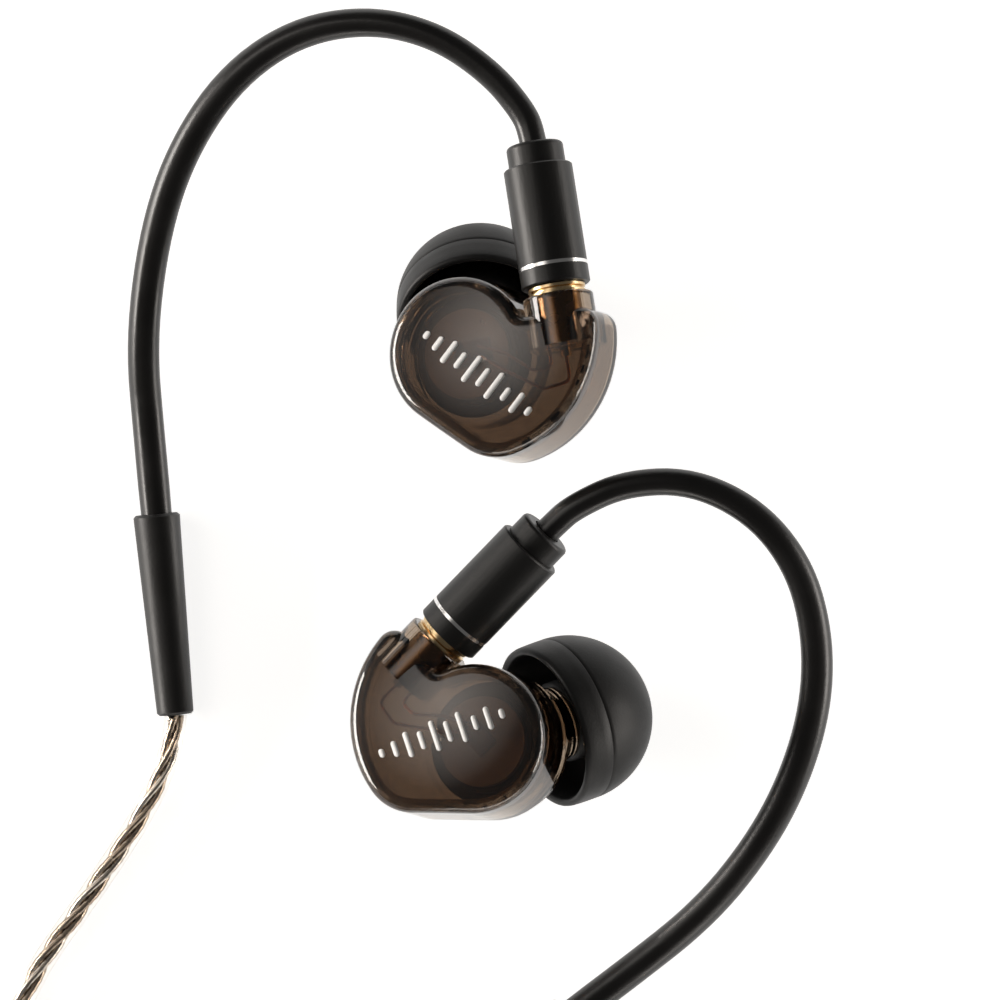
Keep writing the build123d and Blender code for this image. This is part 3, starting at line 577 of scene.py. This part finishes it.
# %% [markdown]
# ## Ear hooks
# Each hook is a heat-formed rubber tube over the cable. It leaves the cap thin, swells
# a little down its long limb and goes into the sleeve. A fine mould line runs along
# both sides. The tube is a mesh skin along a smooth route, so its width can change.

# %% Hook routes
right_hook_corners = [
    (3.4, 37.5, 15.1), (0.9, 40.5, 14.6), (-3.4, 43.5, 13.9), (-8.8, 44.8, 12.8),
    (-14.7, 43.8, 11.5), (-19.9, 40.2, 10.1), (-23.8, 34.4, 8.5), (-26.0, 27.9, 6.8),
    (-27.15, 19.3, 4.3),
]
left_hook_corners = [
    (7.7, 6.0, 12.9), (11.6, 7.8, 13.4), (17.0, 8.0, 13.8), (22.2, 5.4, 13.6),
    (25.6, 1.0, 12.9), (27.0, -4.4, 11.7), (26.9, -9.9, 10.2), (25.3, -15.6, 8.5),
    (22.6, -20.9, 6.7), (18.3, -26.4, 4.3),
]


in_cap, past_cap = 9.82, 13.42    # from the socket, along the connector
before_sleeve, in_sleeve = 6.5, 4


def hook_route(side, corners, sleeve_top, sleeve_end):
    """From inside the cap, round the ear and into the sleeve."""
    swivel = joint_of(f"{side}_swivel")
    socket, along = Vector(swivel["pos_m"]) / MM, Vector(swivel["axis"])
    first, last = Vector(sleeve_top), Vector(sleeve_end)
    down = (last - first).normalized()
    start = [tuple(socket + along * in_cap), tuple(socket + along * past_cap)]
    return start + corners + [tuple(first - down * before_sleeve), tuple(first + down * in_sleeve)]


hook_routes = {
    "right": hook_route("right", right_hook_corners, (-25.96, 5.33, 1.88), (-24.44, -10.79, 1.48)),
    "left": hook_route("left", left_hook_corners, (7.24, -35.07, 1.88), (-5.76, -44.73, 1.48)),
}

# %% Both hooks
thin_half, swell_by, narrow_by = 1.08, 0.21, 0.08
hook_sides, flat_share, mould_ridge = 40, 0.96, 0.022


def hook_width(part):
    """Half width along the hook, from the cap at 0 to the sleeve at 1."""
    swell = min(max((part - 0.12) / 0.4, 0.0), 1.0)
    narrow = min(max((part - 0.92) / 0.08, 0.0), 1.0)
    return thin_half + swell_by * swell * swell * (3 - 2 * swell) - narrow_by * narrow


for side, route in hook_routes.items():
    frames = turning_frames(spaced(route_points(route), 0.35))
    total = len(frames) - 1

    def hook_section(step):
        width = hook_width(step / total)
        ring = []
        for k in range(hook_sides):
            angle = 2 * pi * k / hook_sides
            ridge = mould_ridge if k in (0, hook_sides // 2) else 0.0
            flat = width * flat_share + ridge
            ring.append((flat * cos(angle), (width + ridge) * sin(angle)))
        return ring

    hook = tube_mesh(f"{side}_hook_tube", frames, hook_section)
    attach(hook, "cable")
    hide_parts(f"{side}_ear_hook")
    dress(hook, hook_rubber)
    print(hook.name, "length", round(length_of([f[0] for f in frames]), 1), "mm")

# %% [markdown]
# ## Printed mark
# A faceplate carries a light print. This one is a plain row of sound-level bars, made
# as thin plates that are dropped onto the domed face, so that they follow its curve.

# %% Mark finish
mark_print, shader = new_finish("pale_print", (0.78, 0.77, 0.75), roughness=0.35)
add_grain(mark_print, shader, 2600.0, 0.003, 0.32, 0.42)

# %% A helper that lays a row of bars on a face
print_top, print_foot = 0.035, -0.01    # above and in the face, in millimetres
ray_height = 0.05    # higher than any piece, in metres


def surface_of(node):
    return BVHTree.FromPolygons(
        [v.co for v in node.data.vertices], [p.vertices for p in node.data.polygons])


def printed_mark(name, face_node, middle, turn_deg, heights, pitch=1.12, width=0.46):
    """A row of round-ended bars, each a thin plate that follows the face beneath it."""
    face = surface_of(face_node)
    turn = radians(turn_deg)
    verts, faces = [], []
    for i, height in enumerate(heights):
        shift = (i - (len(heights) - 1) / 2) * pitch
        bend = [radians(a) for a in (0, 18, 36, 54, 72, 90)]
        end = [(width / 2 * max(sin(a), 0.1), height / 2 - width / 2 * (1 - cos(a))) for a in bend]
        halves = [(half, -y) for half, y in end] + [(width / 2, 0.0)] + end[::-1]
        rows = len(halves)
        outline = [[(shift - half, y), (shift, y), (shift + half, y)] for half, y in halves]
        start = len(verts)
        for lift in (print_top, print_foot):
            for row in outline:
                for x, y in row:
                    px = middle[0] + x * cos(turn) - y * sin(turn)
                    py = middle[1] + x * sin(turn) + y * cos(turn)
                    above = Vector((px * MM, py * MM, ray_height))
                    hit, normal, _, _ = face.ray_cast(above, Vector((0, 0, -1)))
                    verts.append(hit + normal * lift * MM)
        size = rows * 3
        for j in range(rows - 1):
            for k in range(2):
                a = start + j * 3 + k
                faces.append((a, a + 1, a + 4, a + 3))
                faces.append((a + size, a + size + 3, a + size + 4, a + size + 1))
        rim = [j * 3 for j in range(rows)] + [rows * 3 - 2, rows * 3 - 1]
        rim += [j * 3 + 2 for j in range(rows - 2, -1, -1)] + [1]
        for a, b in zip(rim, rim[1:] + rim[:1]):
            faces.append((start + a, start + b, start + b + size, start + a + size))
    return mesh_piece(name, verts, faces)


# %% Both marks
level_bars = (0.7, 1.3, 2.1, 1.5, 2.5, 1.7, 2.5, 1.2, 1.9, 0.8)
for side, middle, turn in (("right", (-0.16, 16.53), -37.0), ("left", (-3.0, -12.15), 18.5)):
    mark = printed_mark(f"{side}_level_mark", nodes[f"{side}_faceplate"], middle, turn, level_bars)
    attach(mark, f"{side}_earpiece")
    dress(mark, mark_print)
    print(mark.name, len(mark.data.vertices), "points")

# %% [markdown]
# ## Table and light
# The table is a pale, slightly glowing sheet, as on a light table, so clear parts are
# lit from below too. Wide soft lights stand low on three sides: they draw long soft
# highlights on the edges of the black parts and leave their tops dark. A fourth light is
# higher, where the faceplates mirror it, and fades to its rim for a cloudy gleam.

# %% Table
table_finish, shader = new_finish("pale_table", (0.86, 0.86, 0.855), roughness=0.75)
shader.inputs["Emission Color"].default_value = (1.0, 0.995, 0.985, 1.0)
shader.inputs["Emission Strength"].default_value = 0.82
add_grain(table_finish, shader, 900.0, 0.004, 0.7, 0.8)
table_half, table_z = 1.5, -0.00002
table_corners = [
    Vector((x * table_half, y * table_half, table_z))
    for x, y in ((-1, -1), (1, -1), (1, 1), (-1, 1))]
table = mesh_piece("table_sheet", table_corners, [(0, 1, 2, 3)])
dress(table, table_finish)

# %% World and soft lights
world = bpy.data.worlds.new("studio_air")
world.use_nodes = True
world.node_tree.nodes["Background"].inputs["Color"].default_value = (1.0, 0.985, 0.97, 1.0)
world.node_tree.nodes["Background"].inputs["Strength"].default_value = 0.08
bpy.context.scene.world = world
bpy.context.scene.view_settings.view_transform = "Standard"


def soft_light(name, place, aim, size, power):
    lamp = bpy.data.lights.new(name, "AREA")
    lamp.shape = "RECTANGLE"
    lamp.size, lamp.size_y = size
    lamp.energy = power
    lamp.color = (1.0, 0.945, 0.89)
    piece = bpy.data.objects.new(name, lamp)
    bpy.context.scene.collection.objects.link(piece)
    piece.location = place
    piece.rotation_euler = (Vector(aim) - Vector(place)).to_track_quat("-Z", "Y").to_euler()
    return piece


def fade_to_edge(lamp):
    """A glow that is brightest in the middle of the light and gone at its rim."""
    lamp.use_nodes = True
    tree = lamp.node_tree
    where = tree.nodes.new("ShaderNodeTexCoord")
    centred = tree.nodes.new("ShaderNodeMapping")
    centred.inputs["Location"].default_value = (-1.0, -1.0, 0.0)
    centred.inputs["Scale"].default_value = (2.0, 2.0, 0.0)
    glow = tree.nodes.new("ShaderNodeTexGradient")
    glow.gradient_type = "SPHERICAL"
    tree.links.new(where.outputs["UV"], centred.inputs["Vector"])
    tree.links.new(centred.outputs["Vector"], glow.inputs["Vector"])
    tree.links.new(glow.outputs["Fac"], tree.nodes["Emission"].inputs["Strength"])


soft_light("left_softbox", (-0.50, 0.03, 0.075), (0, 0, 0.02), (0.34, 0.14), 2.8)
soft_light("right_softbox", (0.50, -0.05, 0.075), (0, 0, 0.02), (0.50, 0.14), 1.9)
soft_light("front_softbox", (0.05, -0.52, 0.07), (0, 0, 0.02), (0.60, 0.12), 0.9)
upper = soft_light("upper_softbox", (-0.38, 0.18, 0.42), (0, 0, 0.01), (0.42, 0.42), 1.5)
fade_to_edge(upper.data)
print("lights", len(bpy.data.lights))

# %% [markdown]
# ## Finish
# The view layer is brought up to date at the end.

# %% Update the view layer
bpy.context.view_layer.update()
